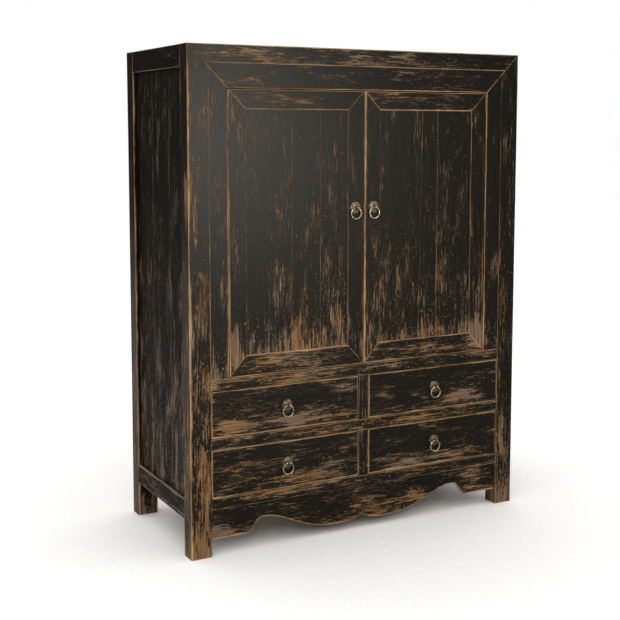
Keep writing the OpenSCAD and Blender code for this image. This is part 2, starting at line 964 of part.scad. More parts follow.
drawer_front(RIGHT, lower[0], lower[1]);  // drawer_lower_right_front
drawer_box(RIGHT, lower[0], lower[1]);  // drawer_lower_right_box
drawer_bottom(RIGHT, lower[0]);  // drawer_lower_right_bottom
drawer_pull(RIGHT, lower[0], lower[1]);  // drawer_lower_right_pull
drawer_ring(RIGHT, lower[0], lower[1]);  // drawer_lower_right_ring
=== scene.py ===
# %% [markdown]
# # A worn black armoire
# This notebook dresses a ready-made cabinet. The frame comes from the CAD model, in metres: X to the
# right, Y from front to back, Z up. Every board that shows is built again here with eased arrises and a
# paint that is rubbed away. Each new piece rides on the CAD body it belongs to, so doors and drawers open.

# %% Load the frame
import math

import bmesh
import bpy
from mathutils import Matrix, Quaternion, Vector


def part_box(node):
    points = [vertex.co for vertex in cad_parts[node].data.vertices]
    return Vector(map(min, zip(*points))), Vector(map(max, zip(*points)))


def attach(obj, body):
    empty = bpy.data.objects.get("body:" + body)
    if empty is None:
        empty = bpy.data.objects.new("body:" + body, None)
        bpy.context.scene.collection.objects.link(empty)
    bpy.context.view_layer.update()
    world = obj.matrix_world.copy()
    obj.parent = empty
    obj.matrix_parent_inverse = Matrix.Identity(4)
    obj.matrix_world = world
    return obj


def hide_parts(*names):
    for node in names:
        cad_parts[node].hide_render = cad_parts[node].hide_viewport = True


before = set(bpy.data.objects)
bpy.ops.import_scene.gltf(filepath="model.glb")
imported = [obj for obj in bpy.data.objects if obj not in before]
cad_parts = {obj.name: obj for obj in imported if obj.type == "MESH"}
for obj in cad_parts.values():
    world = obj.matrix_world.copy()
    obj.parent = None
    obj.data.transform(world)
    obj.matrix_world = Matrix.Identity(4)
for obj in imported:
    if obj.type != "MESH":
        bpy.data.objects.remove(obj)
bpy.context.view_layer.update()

# %% [markdown]
# ## Colours and nodes
# Colours are easiest to pick as sRGB hex values, as in a paint program, but a shader works with linear
# light, so one function converts them. One more function adds a node to a material with its settings and
# its links. Giving it a node as an input means that node's first enabled output.

# %% Colour and node helpers
MM = 0.001


def colour(hex_value):
    """An sRGB hex colour as linear red, green, blue and alpha."""
    parts = [int(hex_value[i : i + 2], 16) / 255 for i in (1, 3, 5)]
    return [p / 12.92 if p <= 0.04045 else ((p + 0.055) / 1.055) ** 2.4 for p in parts] + [1]


def add(tree, kind, sockets=(), stops=(), **settings):
    """A new node. sockets maps an input's name or number to a value, a socket or a node."""
    node = tree.nodes.new("ShaderNode" + kind)
    for key, value in settings.items():
        setattr(node, key, value)
    for i, (place, hex_value) in enumerate(dict(stops).items()):
        ramp = node.color_ramp.elements
        stop = ramp[i] if i < len(ramp) else ramp.new(place)
        stop.position, stop.color = place, colour(hex_value)
    for key, value in dict(sockets).items():
        if isinstance(value, bpy.types.Node):
            value = next(out for out in value.outputs if out.enabled)
        if isinstance(value, bpy.types.NodeSocket):
            tree.links.new(value, node.inputs[key])
        else:
            node.inputs[key].default_value = value
    return node


def new_material(name):
    """An empty material, its node tree and its principled shader."""
    made = bpy.data.materials.new(name)
    made.use_nodes = True
    print("material:", name)
    return made, made.node_tree, made.node_tree.nodes["Principled BSDF"]


# %% [markdown]
# ## Where the paint is rubbed away
# Old lacquer goes first where hands, brooms and feet rub: along the arrises, low down, on the drawers and
# at the corners of the doors. This function says how far the paint is gone at a point: 0.1 is nearly sound
# and 0.5 is about half bare. It grows towards the floor, and a list of places on the front adds the patches
# that stand out.

# %% Worn places
LEFT, RIGHT = -1, 1
WORDS = {LEFT: "left", RIGHT: "right"}
# In metres: the wear grows from WEAR_TOP down to the floor by LOW_WEAR, and from FOOT_TOP by FOOT_WEAR more.
WEAR_TOP, FOOT_TOP = 1.25, 0.12
LOW_WEAR, FOOT_WEAR = 0.20, 0.14
FRONT_DEPTH = 40 * MM  # the places below are worn this deep behind the front, and nothing further back
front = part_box("post_front_left")[0].y
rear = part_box("post_rear_left")[1].y
half_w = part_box("post_front_right")[1].x
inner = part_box("post_front_right")[0].x
post_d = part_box("post_front_right")[1].y - front
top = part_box("post_front_right")[1].z

# x and z from the middle of the floor line, half width and half height in mm, and strength
WORN_PLACES = [
    # top rail and head rail
    (-434, 1716, 75, 14, 0.24), (-322, 1706, 70, 14, 0.24), (-375, 1668, 34, 14, 0.26),
    (-424, 1629, 55, 10, 0.30), (-560, 1722, 60, 12, 0.16), (-120, 1650, 150, 30, 0.05),
    (60, 1712, 260, 22, 0.16), (200, 1640, 250, 20, 0.05), (440, 1640, 70, 20, 0.16),
    # left post and stile
    (-598, 1500, 9, 90, 0.26), (-640, 1480, 8, 60, 0.18), (-672, 1264, 14, 70, 0.30),
    (-640, 430, 30, 190, 0.08), (-602, 598, 22, 45, 0.28),
    # left door
    (-330, 1568, 70, 12, 0.24), (-190, 1568, 60, 12, 0.20), (-227, 857, 8, 60, 0.42),
    (-516, 738, 20, 60, 0.50), (-300, 655, 250, 34, 0.34), (-300, 730, 170, 45, 0.12),
    (-90, 850, 28, 170, 0.12),
    # right door
    (300, 650, 250, 30, 0.26), (260, 706, 220, 30, 0.16), (500, 680, 45, 60, 0.40),
    (500, 830, 20, 150, 0.22), (140, 885, 14, 110, 0.26), (60, 830, 24, 110, 0.22),
    (45, 1060, 12, 60, 0.20), (276, 760, 20, 90, 0.20),
    # rails between the drawers
    (-300, 600, 280, 18, 0.16), (160, 600, 140, 18, 0.22), (-150, 394, 140, 16, 0.20),
    (160, 394, 130, 16, 0.22),
    # drawers
    (-476, 511, 45, 15, 0.32), (-520, 450, 60, 30, 0.26), (-230, 445, 210, 24, 0.24),
    (-110, 548, 80, 14, 0.16), (450, 470, 90, 36, 0.24), (300, 430, 270, 14, 0.24),
    (90, 500, 34, 14, 0.22), (-240, 222, 220, 15, 0.34), (-140, 266, 60, 26, 0.28),
    (-520, 285, 70, 70, 0.10), (330, 228, 190, 20, 0.27), (150, 216, 90, 12, 0.20),
    # apron
    (228, 98, 55, 28, 0.30), (-560, 90, 50, 30, 0.26), (500, 110, 60, 28, 0.20),
    # right post
    (640, 220, 40, 170, 0.18), (606, 960, 14, 70, 0.22), (632, 880, 24, 90, 0.14),
]


def rubbed(point, level):
    """How far the paint is gone at a point of a board that starts from level."""
    low_down = LOW_WEAR * max(0.0, 1 - point.z / WEAR_TOP)
    feet = FOOT_WEAR * max(0.0, 1 - point.z / FOOT_TOP)
    places = 0.0
    if point.y < front + FRONT_DEPTH:
        for x, z, wide, high, strength in WORN_PLACES:
            away = ((point.x / MM - x) / wide) ** 2 + ((point.z / MM - z) / high) ** 2
            places += strength * math.exp(-away) if away < 9 else 0
    return level + low_down + feet + places


print("worn places on the front:", len(WORN_PLACES))


# %% [markdown]
# ## One recipe for every board
# Nearly all the wood here is sawn and planed boards, so one recipe makes them. A cube is stretched to size,
# its ends are cut along the mitres with a bisect, its arrises are eased with a bevel, and it is sliced into
# small faces that can hold the worn values. Three attributes go with it for the paint. "grain" is how far
# along and across the grain a point lies, so streaks follow each board and stop at its joints. "arris" is
# the distance to the four nearest arrises, counted in widths of the worn strip there. "rub" is the value
# worked out above.

# %% Board recipe
SIDES = {"-x": (0, -1), "+x": (0, 1), "-y": (1, -1), "+y": (1, 1), "-z": (2, -1), "+z": (2, 1)}
FAR = 99
# A strip of this width in mm or more seldom fades out, because its distances start this much lower.
WIDE_STRIP, STEADY = 3, 0.45
# Each board's place in the pattern lies this many metres from that of the board before.
STEP_ALONG, STEP_ACROSS, STEP_DEEP = 1.37, 0.61, 0.37
boards_made = [0]


def unit(axis, length=1.0):
    """A vector of some length along axis 0, 1 or 2."""
    return Vector([length * (i == axis) for i in range(3)])


def tell_paint(bm, planes, grain, level):
    """Writes the three attributes; planes are (outward normal, distance from the origin, strip in mm)."""
    grain_layer = bm.loops.layers.float_vector.new("grain")
    arris_layer = bm.loops.layers.float_color.new("arris")
    rub_layer = bm.verts.layers.float.new("rub")
    boards_made[0] += 1
    seed = boards_made[0]
    bm.normal_update()
    for face in bm.faces:
        middle = face.calc_center_median()
        face.smooth = not any(normal.dot(face.normal) > 0.9999 for normal, _, _ in planes)
        beside = [row for row in planes if abs(row[0].dot(face.normal)) < 0.95]
        near = sorted(beside, key=lambda row: (row[1] - row[0].dot(middle)) / row[2])[:4]
        facing = max(range(3), key=lambda axis: abs(face.normal[axis]))
        along = grain if facing != grain else (grain + 1) % 3
        across = next(axis for axis in range(3) if axis not in (along, facing))
        for loop in face.loops:
            p = loop.vert.co
            values = [
                (away - normal.dot(p)) / (strip * MM) - (STEADY if strip >= WIDE_STRIP else 0)
                for normal, away, strip in near
            ]
            loop[arris_layer] = values + [FAR] * (4 - len(values))
            loop[grain_layer] = (
                p[along] + seed * STEP_ALONG, p[across] + seed * STEP_ACROSS, seed * STEP_DEEP
            )
    for v in bm.verts:
        v[rub_layer] = rubbed(v.co, level)


def merge_into(whole, bm):
    """Moves everything in bm over to the bmesh whole."""
    carrier = bpy.data.meshes.new("carrier")
    bm.to_mesh(carrier)
    bm.free()
    whole.from_mesh(carrier)
    bpy.data.meshes.remove(carrier)


def board(whole, low, high, grain, level, strips, cuts=(), ease=1.5, rounds=(), step=30):
    """Adds a board between two corners to the bmesh whole.

    grain is the axis along it, level how far its paint is gone, and strips the width in mm of the worn
    strip at each side. cuts are mitres as (point, outward normal, strip), ease is how far the arrises are
    bevelled in mm, rounds are (side, side, radius in mm) for arrises that are rounder, and step is the
    slices' spacing in mm.
    """
    low, high = Vector(low), Vector(high)
    bm = bmesh.new()
    bmesh.ops.create_cube(bm, size=1)
    bmesh.ops.scale(bm, vec=high - low, verts=bm.verts)
    bmesh.ops.translate(bm, vec=(low + high) / 2, verts=bm.verts)
    planes = []
    for key, (axis, sign) in SIDES.items():
        away = high[axis] if sign > 0 else -low[axis]
        planes.append((unit(axis, sign), away, strips.get(key, 1.2)))
    for point, normal, strip in cuts:
        normal = Vector(normal).normalized()
        everything = bm.verts[:] + bm.edges[:] + bm.faces[:]
        cut = bmesh.ops.bisect_plane(
            bm, geom=everything, plane_co=point, plane_no=normal, clear_outer=True
        )
        rim = [g for g in cut["geom_cut"] if isinstance(g, bmesh.types.BMEdge)]
        bmesh.ops.holes_fill(bm, edges=rim)
        planes.append((normal, normal.dot(Vector(point)), strip))
    bmesh.ops.recalc_face_normals(bm, faces=bm.faces)

    for one, other, radius in rounds:
        places = []
        for axis, sign in (SIDES[one], SIDES[other]):
            places.append((axis, (high if sign > 0 else low)[axis]))
        arris = [
            edge for edge in bm.edges
            if all(abs(v.co[axis] - place) < 1e-5 for v in edge.verts for axis, place in places)
        ]
        bmesh.ops.bevel(
            bm, geom=arris, offset=radius * MM, offset_type="OFFSET", segments=5, profile=0.5,
            affect="EDGES", material=-1, clamp_overlap=True,
        )
    sharp = [
        edge for edge in bm.edges if edge.is_manifold and edge.calc_face_angle() > math.radians(35)
    ]
    bmesh.ops.bevel(
        bm, geom=sharp, offset=ease * MM, offset_type="OFFSET", segments=2, profile=0.5,
        affect="EDGES", material=-1, clamp_overlap=True,
    )
    for axis in range(3):
        count = int((high - low)[axis] / (step * MM))
        for i in range(1, count + 1):
            place = low + unit(axis, (high - low)[axis] * i / (count + 1))
            everything = bm.verts[:] + bm.edges[:] + bm.faces[:]
            bmesh.ops.bisect_plane(bm, geom=everything, plane_co=place, plane_no=unit(axis))
    tell_paint(bm, planes, grain, level)
    merge_into(whole, bm)


def piece(name, whole, body, material):
    """Turns a bmesh into an object that rides on a body and stands for the CAD node of that name."""
    mesh = bpy.data.meshes.new(name)
    whole.to_mesh(mesh)
    whole.free()
    mesh.materials.append(material)
    made = bpy.data.objects.new(f"{name}_visual", mesh)
    bpy.context.scene.collection.objects.link(made)
    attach(made, body)
    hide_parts(name)
    print(f"{name}: {len(mesh.polygons)} faces, rides on {body}")


# %% [markdown]
# ## Black lacquer over elm
# The finish is a thin black lacquer on elm. It has worn through in streaks that follow the grain, gathered
# in larger patches, and in a ragged strip along each arris. At the rim of a bare place the lacquer is thin
# and looks brown. The bare wood is golden where it was rubbed last, and greyer where dirt has gone in.
#
# Noise textures stretched along the grain give the marks. Their sum and the worn value together have to pass
# a threshold, so there are few marks where the paint is sound, and they join up where it is not.

# %% Worn lacquer
# Each pattern's size along and across the grain in mm, its detail, roughness and distortion
MARKS = {
    "streaks": (62, 6.5, 6, 0.64, 0.7),
    "patches": (210, 52, 3, 0.6, 0.4),
    "grit": (5, 2.6, 2, 0.7, 0),
    "fibres": (130, 2.0, 4, 0.6, 0),
    "chips": (11, 5, 2, 0.5, 0.3),
    "drift": (420, 160, 2, 0.5, 0),
    "scratches": (46, 2.4, 3, 0.62, 0.4),
}


def lacquer_over_elm(name, tones, roughness, specular):
    """Lacquer as worn as the board's attributes say; tones has a ramp's three colours for each key."""
    made, tree, shader = new_material(name)
    grain = add(tree, "Attribute", attribute_name="grain").outputs["Vector"]
    rub = add(tree, "Attribute", attribute_name="rub").outputs["Fac"]
    arris = add(tree, "Attribute", attribute_name="arris")
    mark = {}
    for i, (key, (long, wide, detail, rough, bend)) in enumerate(MARKS.items()):
        per_metre = (1 / (long * MM), 1 / (wide * MM), 5.0)
        place = add(
            tree, "VectorMath", {0: grain, 1: per_metre, 2: (13.0 * i,) * 3}, operation="MULTIPLY_ADD"
        )
        mark[key] = add(
            tree, "TexNoise",
            {"Vector": place, "Scale": 1, "Detail": detail, "Roughness": rough, "Distortion": bend},
        )

    # How far gone the paint is: the streaks break it up, the patches gather them, grit frays them.
    gone = rub
    for key, weight in (("streaks", 1.25), ("patches", 0.85), ("grit", 0.34), ("fibres", 0.30)):
        gone = add(tree, "Math", {0: mark[key], 1: weight, 2: gone}, operation="MULTIPLY_ADD")
    bare = add(tree, "MapRange", {0: gone, 1: 1.83, 2: 1.90}, interpolation_type="SMOOTHSTEP")
    thin = add(tree, "MapRange", {0: gone, 1: 1.68, 2: 1.88}, interpolation_type="SMOOTHSTEP")

    # Small chips, and thin scratches that gather where the patches do
    chip = add(tree, "Math", {0: rub, 1: 0.42, 2: mark["chips"]}, operation="MULTIPLY_ADD")
    chip = add(tree, "MapRange", {0: chip, 1: 0.80, 2: 0.83}, interpolation_type="SMOOTHSTEP")
    scratch = add(tree, "Math", {0: rub, 1: 0.25, 2: mark["scratches"]}, operation="MULTIPLY_ADD")
    scratch = add(tree, "Math", {0: mark["patches"], 1: 0.6, 2: scratch}, operation="MULTIPLY_ADD")
    scratch = add(
        tree, "MapRange", {0: scratch, 1: 1.02, 2: 1.06, 4: 0.9}, interpolation_type="SMOOTHSTEP"
    )
    small = add(tree, "Math", {0: chip, 1: scratch}, operation="MAXIMUM")

    # The strip along the arrises: its width drifts, and its border is ragged.
    near = add(tree, "SeparateColor", {0: arris.outputs["Color"]})
    nearest = arris.outputs["Alpha"]
    for output in near.outputs:
        nearest = add(tree, "Math", {0: nearest, 1: output}, operation="MINIMUM")
    reach = add(tree, "Math", {0: rub, 1: 0.8, 2: -2.40}, operation="MULTIPLY_ADD")
    for key, weight in (("streaks", 2.2), ("patches", 1.5), ("drift", 1.6), ("grit", 0.6)):
        reach = add(tree, "Math", {0: mark[key], 1: weight, 2: reach}, operation="MULTIPLY_ADD")
    deep = add(tree, "Math", {0: reach, 1: nearest}, operation="SUBTRACT")
    strip = add(tree, "MapRange", {0: deep, 1: 0.38, 2: 0.62}, interpolation_type="SMOOTHSTEP")
    strip_thin = add(tree, "MapRange", {0: deep, 1: -0.1, 2: 0.6}, interpolation_type="SMOOTHSTEP")

    bare_all = add(tree, "Math", {0: bare, 1: strip}, operation="MAXIMUM")
    bare_all = add(tree, "Math", {0: bare_all, 1: small}, operation="MAXIMUM")
    thin_all = add(tree, "Math", {0: thin, 1: strip_thin}, operation="MAXIMUM")

    paint, dirty, clean, fresh, stain = (
        add(tree, "ValToRGB", {0: mark["fibres"]}, stops=dict(zip((0.35, 0.5, 0.66), tones[key])))
        for key in ("paint", "dirty", "clean", "fresh", "stain")
    )
    old = add(tree, "MapRange", {0: mark["drift"], 1: 0.40, 2: 0.62})
    wood = add(tree, "Mix", {0: old, 6: clean, 7: dirty}, data_type="RGBA")
    rubbed_last = add(tree, "MapRange", {0: deep, 1: 0.6, 2: 1.05}, interpolation_type="SMOOTHSTEP")
    wood = add(tree, "Mix", {0: rubbed_last, 6: wood, 7: fresh}, data_type="RGBA")
    skin = add(tree, "Mix", {0: thin_all, 6: paint, 7: stain}, data_type="RGBA")
    skin = add(tree, "Mix", {0: bare_all, 6: skin, 7: wood}, data_type="RGBA")
    tree.links.new(skin.outputs[2], shader.inputs["Base Color"])

    rough = add(tree, "Math", {0: mark["fibres"], 1: 0.16, 2: roughness}, operation="MULTIPLY_ADD")
    rough = add(tree, "Math", {0: bare_all, 1: 0.25, 2: rough}, operation="MULTIPLY_ADD", use_clamp=True)
    tree.links.new(rough.outputs[0], shader.inputs["Roughness"])
    shader.inputs["Specular IOR Level"].default_value = specular
    shader.inputs["Specular Tint"].default_value = colour("#fbf8ea")
    height = add(tree, "Math", {0: mark["fibres"], 1: 0.5, 2: 0}, operation="MULTIPLY_ADD")
    height = add(tree, "Math", {0: bare_all, 1: -0.4, 2: height}, operation="MULTIPLY_ADD")
    height = add(tree, "Math", {0: mark["grit"], 1: 0.15, 2: height}, operation="MULTIPLY_ADD")
    bump = add(tree, "Bump", {"Strength": 0.5, "Distance": 1.2 * MM, "Height": height})
    tree.links.new(bump.outputs[0], shader.inputs["Normal"])
    return made


FRONT_TONES = {
    "paint": ("#0d0b08", "#13110b", "#1c1810"),
    "dirty": ("#42362a", "#675543", "#8a7662"),
    "clean": ("#543b22", "#795836", "#9a784f"),
    "fresh": ("#7a5a36", "#a37f54", "#c6a77c"),
    "stain": ("#20180f", "#30251a", "#483a29"),
}
# The front's recipe with darker tones: the darkness is painted shade, as the sides stand in less light.
SIDE_TONES_WITH_PAINTED_SHADE = {
    "paint": ("#090705", "#0e0c08", "#15120c"),
    "dirty": ("#3f352d", "#62564b", "#857769"),
    "clean": ("#4a3c2d", "#6b5944", "#897762"),
    "fresh": ("#5c4b37", "#7a654c", "#948062"),
    "stain": ("#1b1611", "#2a231b", "#3b3128"),
}
front_lacquer = lacquer_over_elm("black_lacquer_over_elm", FRONT_TONES, 0.28, 0.042)
# Duller lacquer for the sides, back and top, with its colours darkened as painted shade.
dull_lacquer_with_painted_shade = lacquer_over_elm("dull_lacquer_over_elm_with_painted_shade", SIDE_TONES_WITH_PAINTED_SHADE, 0.50, 0.03)

# %% [markdown]
# ## Bare elm inside
# The inside was never painted: drawer boxes, runners, bearers, the shelf and the cupboard's floor are plain
# elm, darkened by handling. These CAD parts keep their shape, so the pattern reads their own coordinates. It
# is stretched along the grain, with wide bands for the year rings and short dark lines for elm's open pores.

# %% Bare elm
# Each pattern's size along and across the grain in mm, and its detail
ELM_MARKS = {"rings": (380, 15, 4), "pores": (40, 1.3, 3), "dirt": (210, 120, 3)}


def bare_elm(name, along):
    """Plain elm with its grain along axis 0, 1 or 2."""
    made, tree, shader = new_material(name)
    place = add(tree, "TexCoord").outputs["Object"]
    mark = {}
    for i, (key, (long, wide, detail)) in enumerate(ELM_MARKS.items()):
        per_metre = [1 / (wide * MM)] * 3
        per_metre[along] = 1 / (long * MM)
        moved = add(
            tree, "VectorMath", {0: place, 1: per_metre, 2: (7.0 * i,) * 3}, operation="MULTIPLY_ADD"
        )
        mark[key] = add(
            tree, "TexNoise", {"Vector": moved, "Scale": 1, "Detail": detail, "Roughness": 0.6}
        )
    ring_tones = {0.36: "#5c4128", 0.5: "#7a5a38", 0.66: "#92704a"}
    skin = add(tree, "ValToRGB", {0: mark["rings"]}, stops=ring_tones)
    dirty = add(tree, "MapRange", {0: mark["dirt"], 1: 0.42, 2: 0.70, 4: 0.6})
    skin = add(tree, "Mix", {0: dirty, 6: skin, 7: colour("#3f2f20")}, data_type="RGBA")
    lines = add(tree, "MapRange", {0: mark["pores"], 1: 0.52, 2: 0.70, 4: 0.65})
    skin = add(tree, "Mix", {0: lines, 6: skin, 7: colour("#33241a")}, data_type="RGBA")
    tree.links.new(skin.outputs[2], shader.inputs["Base Color"])
    rough = add(tree, "MapRange", {0: mark["dirt"], 3: 0.82, 4: 0.58})
    tree.links.new(rough.outputs[0], shader.inputs["Roughness"])
    shader.inputs["Specular IOR Level"].default_value = 0.25
    bump = add(tree, "Bump", {"Strength": 0.4, "Distance": 0.6 * MM, "Height": mark["pores"]})
    tree.links.new(bump.outputs[0], shader.inputs["Normal"])
    return made


elm_across, elm_deep = bare_elm("bare_elm_across", 0), bare_elm("bare_elm_deep", 1)
for name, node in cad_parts.items():
    if name in ("shelf", "cupboard_floor"):
        node.data.materials.clear()
        node.data.materials.append(elm_across)
    elif name.endswith(("_box", "_bottom")) or name in ("bearers", "drawer_runners"):
        node.data.materials.clear()
        node.data.materials.append(elm_deep)

# %% [markdown]
# ## Aged brass
# The pulls are thin brass. The plates have dulled to a dark brown, and the rings are kept brighter by the
# fingers. Two noises mix tarnish and bright metal, and the tarnish is rougher.

# %% Brass
def old_brass(name, tones, smoothest):
    """Brass with tones from tarnish to bright, and the roughness of its bright places."""
    made, tree, shader = new_material(name)
    place = add(tree, "TexCoord").outputs["Object"]
    cloud = add(tree, "TexNoise", {"Vector": place, "Scale": 1 / (8 * MM), "Detail": 4, "Roughness": 0.65})
    pitting = add(tree, "TexNoise", {"Vector": place, "Scale": 1 / (1.6 * MM), "Detail": 2})
    skin = add(tree, "ValToRGB", {0: cloud}, stops=dict(zip((0.34, 0.5, 0.66), tones)))
    tree.links.new(skin.outputs[0], shader.inputs["Base Color"])
    rough = add(tree, "MapRange", {0: cloud, 1: 0.35, 2: 0.65, 3: 0.66, 4: smoothest})
    tree.links.new(rough.outputs[0], shader.inputs["Roughness"])
    shader.inputs["Metallic"].default_value = 0.85
    bump = add(tree, "Bump", {"Strength": 0.35, "Distance": 0.4 * MM, "Height": pitting})
    tree.links.new(bump.outputs[0], shader.inputs["Normal"])
    return made


plate_brass = old_brass("tarnished_brass", ("#1e1812", "#382e22", "#5c4e39"), 0.46)
ring_brass = old_brass("handled_brass", ("#4a4031", "#7a6d52", "#a89a78"), 0.32)

# %% [markdown]
# ## The posts and the mitred front frame
# The corner posts run from the floor to the top, and the top rail meets them in a mitre. A second, inner
# frame beside the doors continues the same mitre down to the corner of the opening.

# %% Posts
POST_WEAR = {("front", LEFT): 0.23, ("front", RIGHT): 0.15, ("rear", LEFT): 0.16, ("rear", RIGHT): 0.16}


def mitre(side, on_post):
    """The plane from an upper outer corner down at 45 degrees, for the post's side or the rail's."""
    return ((side * half_w, 0, top), Vector((-side, 0, 1)) * (1 if on_post else -1), 2.2)


for side, word in WORDS.items():
    out, into = ("-x", "+x") if side == LEFT else ("+x", "-x")
    for place, face, behind in (("front", "-y", "+y"), ("rear", "+y", "-y")):
        name = f"post_{place}_{word}"
        strips = {out: 9 if side == LEFT else 4, into: 1.4, face: 3, behind: 2.5, "-z": 3}
        if place == "rear":
            strips[out] = 7
        whole = bmesh.new()
        board(
            whole, *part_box(name), 2, POST_WEAR[place, side], strips,
            cuts=[mitre(side, True)], rounds=[(out, face, 5)],
        )
        piece(name, whole, "carcase", front_lacquer)

# %% Top rail, head rail and inner stiles
both = [mitre(side, False) for side in WORDS]
for name, level, strips in (
    ("top_rail_front", 0.30, {"+z": 4, "-z": 1.3, "-y": 2}),
    ("head_rail", 0.21, {"+z": 1.3, "-z": 3.5, "-y": 8}),
):
    whole = bmesh.new()
    board(whole, *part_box(name), 0, level, strips, cuts=both)
    piece(name, whole, "carcase", front_lacquer)

STILE_WEAR = {LEFT: 0.24, RIGHT: 0.15}
mid_low, mid_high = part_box("mid_rail")
for side, word in WORDS.items():
    name = f"inner_stile_{word}"
    low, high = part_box(name)
    low.z = mid_high.z
    out, into = ("-x", "+x") if side == LEFT else ("+x", "-x")
    strips = {out: 1.4, into: 3, "-y": 10, "-z": 1}
    whole = bmesh.new()
    board(whole, low, high, 2, STILE_WEAR[side], strips, cuts=[mitre(side, True)])
    piece(name, whole, "carcase", front_lacquer)

# %% Rails and the upright between the drawers
RAIL_STRIPS = {
    "mid_rail": {"+z": 2, "-z": 1.2}, "drawer_rail": {"+z": 1.6, "-z": 1.2},
    "bottom_rail": {"+z": 1.8, "-z": 2},
}
for name, strips in RAIL_STRIPS.items():
    low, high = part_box(name)
    low.x, high.x = -inner, inner
    whole = bmesh.new()
    board(whole, low, high, 0, 0.16, {**strips, "-x": 1, "+x": 1, "-y": 2})
    piece(name, whole, "carcase", front_lacquer)
drawer_low, drawer_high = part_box("drawer_rail")
bottom_low, bottom_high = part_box("bottom_rail")
low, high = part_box("muntin")
whole = bmesh.new()
for z0, z1 in ((bottom_high.z, drawer_low.z), (drawer_high.z, mid_low.z)):
    ends = (low.x, low.y, z0), (high.x, high.y, z1)
    board(whole, *ends, 2, 0.16, {"-x": 2.2, "+x": 2.2, "-z": 0.8, "+z": 0.8})
piece("muntin", whole, "carcase", front_lacquer)

# %% [markdown]
# ## The apron
# The apron sits a little behind the lowest rail. Its lower edge is a drawn curve: a cusp in the middle, a
# belly at each side of it, a long rise to a crest and a small ogee at each end. A grid is pulled down to that
# curve, gets its thickness by extrusion, and its arrises are bevelled, apart from the upper one.

# %% Apron
# Heights of the lower edge in mm, and how far from the middle they are reached
END, CREST, BELLY, CUSP = 58, 108, 34, 55
BELLY_AT, CREST_AT, OGEE_AT = 77, 393, 462


def ease_between(a, b, t):
    """A smooth step from a to b as t goes from 0 to 1."""
    return a + (b - a) * (1 - math.cos(math.pi * t)) / 2


def scallop(u):
    """Height in mm of the apron's lower edge at u mm from the middle."""
    if u <= BELLY_AT:
        return BELLY + (CUSP - BELLY) * (1 - u / BELLY_AT) ** 2
    if u <= CREST_AT:
        return ease_between(BELLY, CREST, ((u - BELLY_AT) / (CREST_AT - BELLY_AT)) ** 1.45)
    if u <= OGEE_AT:
        return ease_between(CREST, END, ((u - CREST_AT) / (OGEE_AT - CREST_AT)) ** 1.8)
    return END


low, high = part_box("apron")
bm = bmesh.new()
bmesh.ops.create_grid(bm, x_segments=240, y_segments=8, size=0.5)
for v in bm.verts:
    across, up = v.co.x * 2 * inner, (v.co.y + 0.5) ** 1.6
    edge = scallop(abs(across) / MM) * MM
    v.co = (across, low.y, edge + (bottom_low.z - edge) * up)
back = bmesh.ops.extrude_face_region(bm, geom=bm.faces[:])
moved = [g for g in back["geom"] if isinstance(g, bmesh.types.BMVert)]
bmesh.ops.translate(bm, vec=(0, high.y - low.y, 0), verts=moved)
bmesh.ops.recalc_face_normals(bm, faces=bm.faces)
rim = [
    edge for edge in bm.edges
    if edge.is_manifold and edge.calc_face_angle() > math.radians(60)
    and all(v.co.z < bottom_low.z - 0.01 for v in edge.verts)
]
bmesh.ops.bevel(
    bm, geom=rim, offset=1.6 * MM, offset_type="OFFSET", segments=2, profile=0.5,
    affect="EDGES", material=-1,
)
tell_paint(bm, [(unit(1, -1), -low.y, 2), (unit(1), high.y, 2)], 0, 0.10)
arris_layer = bm.loops.layers.float_color["arris"]
for face in bm.faces:
    for loop in face.loops:
        p = loop.vert.co
        above = p.z - scallop(abs(p.x) / MM) * MM
        below, aside = bottom_low.z - p.z, inner - abs(p.x)
        loop[arris_layer] = (above / (6 * MM) - STEADY, below / (1.5 * MM), aside / (1.2 * MM), FAR)
whole = bmesh.new()
merge_into(whole, bm)
piece("apron", whole, "carcase", front_lacquer)

# %% [markdown]
# ## Sides, back and top
# The sides are three boards each, set back in grooves between the posts, with a rail above and below. They
# were finished with less care than the front, so their lacquer is duller. Their tones are also darker than
# the front's: that darkness is painted shade, as the sides stand in less light. The back and the top are
# plain boards too.

# %% Sides
# The seams between a side's boards as shares of its depth
SIDE_SEAMS = [0.0, 0.31, 0.655, 1.0]
side_in = half_w - (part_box("head_rail")[1].y - front)
for side, word in WORDS.items():
    low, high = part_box(f"side_panel_{word}")
    whole = bmesh.new()
    y0, y1 = front + post_d, rear - post_d
    for a, b in zip(SIDE_SEAMS, SIDE_SEAMS[1:]):
        ends = (low.x, y0 + (y1 - y0) * a, low.z), (high.x, y0 + (y1 - y0) * b, high.z)
        board(whole, *ends, 2, 0.22, {"-y": 1, "+y": 1, "-z": 1, "+z": 1}, ease=0.8)
    piece(f"side_panel_{word}", whole, "carcase", dull_lacquer_with_painted_shade)
for name, strips in (("side_top_rails", {"-z": 2.5, "+z": 3}), ("side_bottom_rails", {"-z": 3, "+z": 4})):
    low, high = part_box(name)
    whole = bmesh.new()
    for side in WORDS:
        x0, x1 = sorted((side * half_w, side * side_in))
        ends = (x0, front + post_d, low.z), (x1, rear - post_d, high.z)
        outer = "-x" if side == LEFT else "+x"
        board(whole, *ends, 1, 0.16, {"-y": 0.5, "+y": 0.5, **strips, outer: 8})
    piece(name, whole, "carcase", dull_lacquer_with_painted_shade)

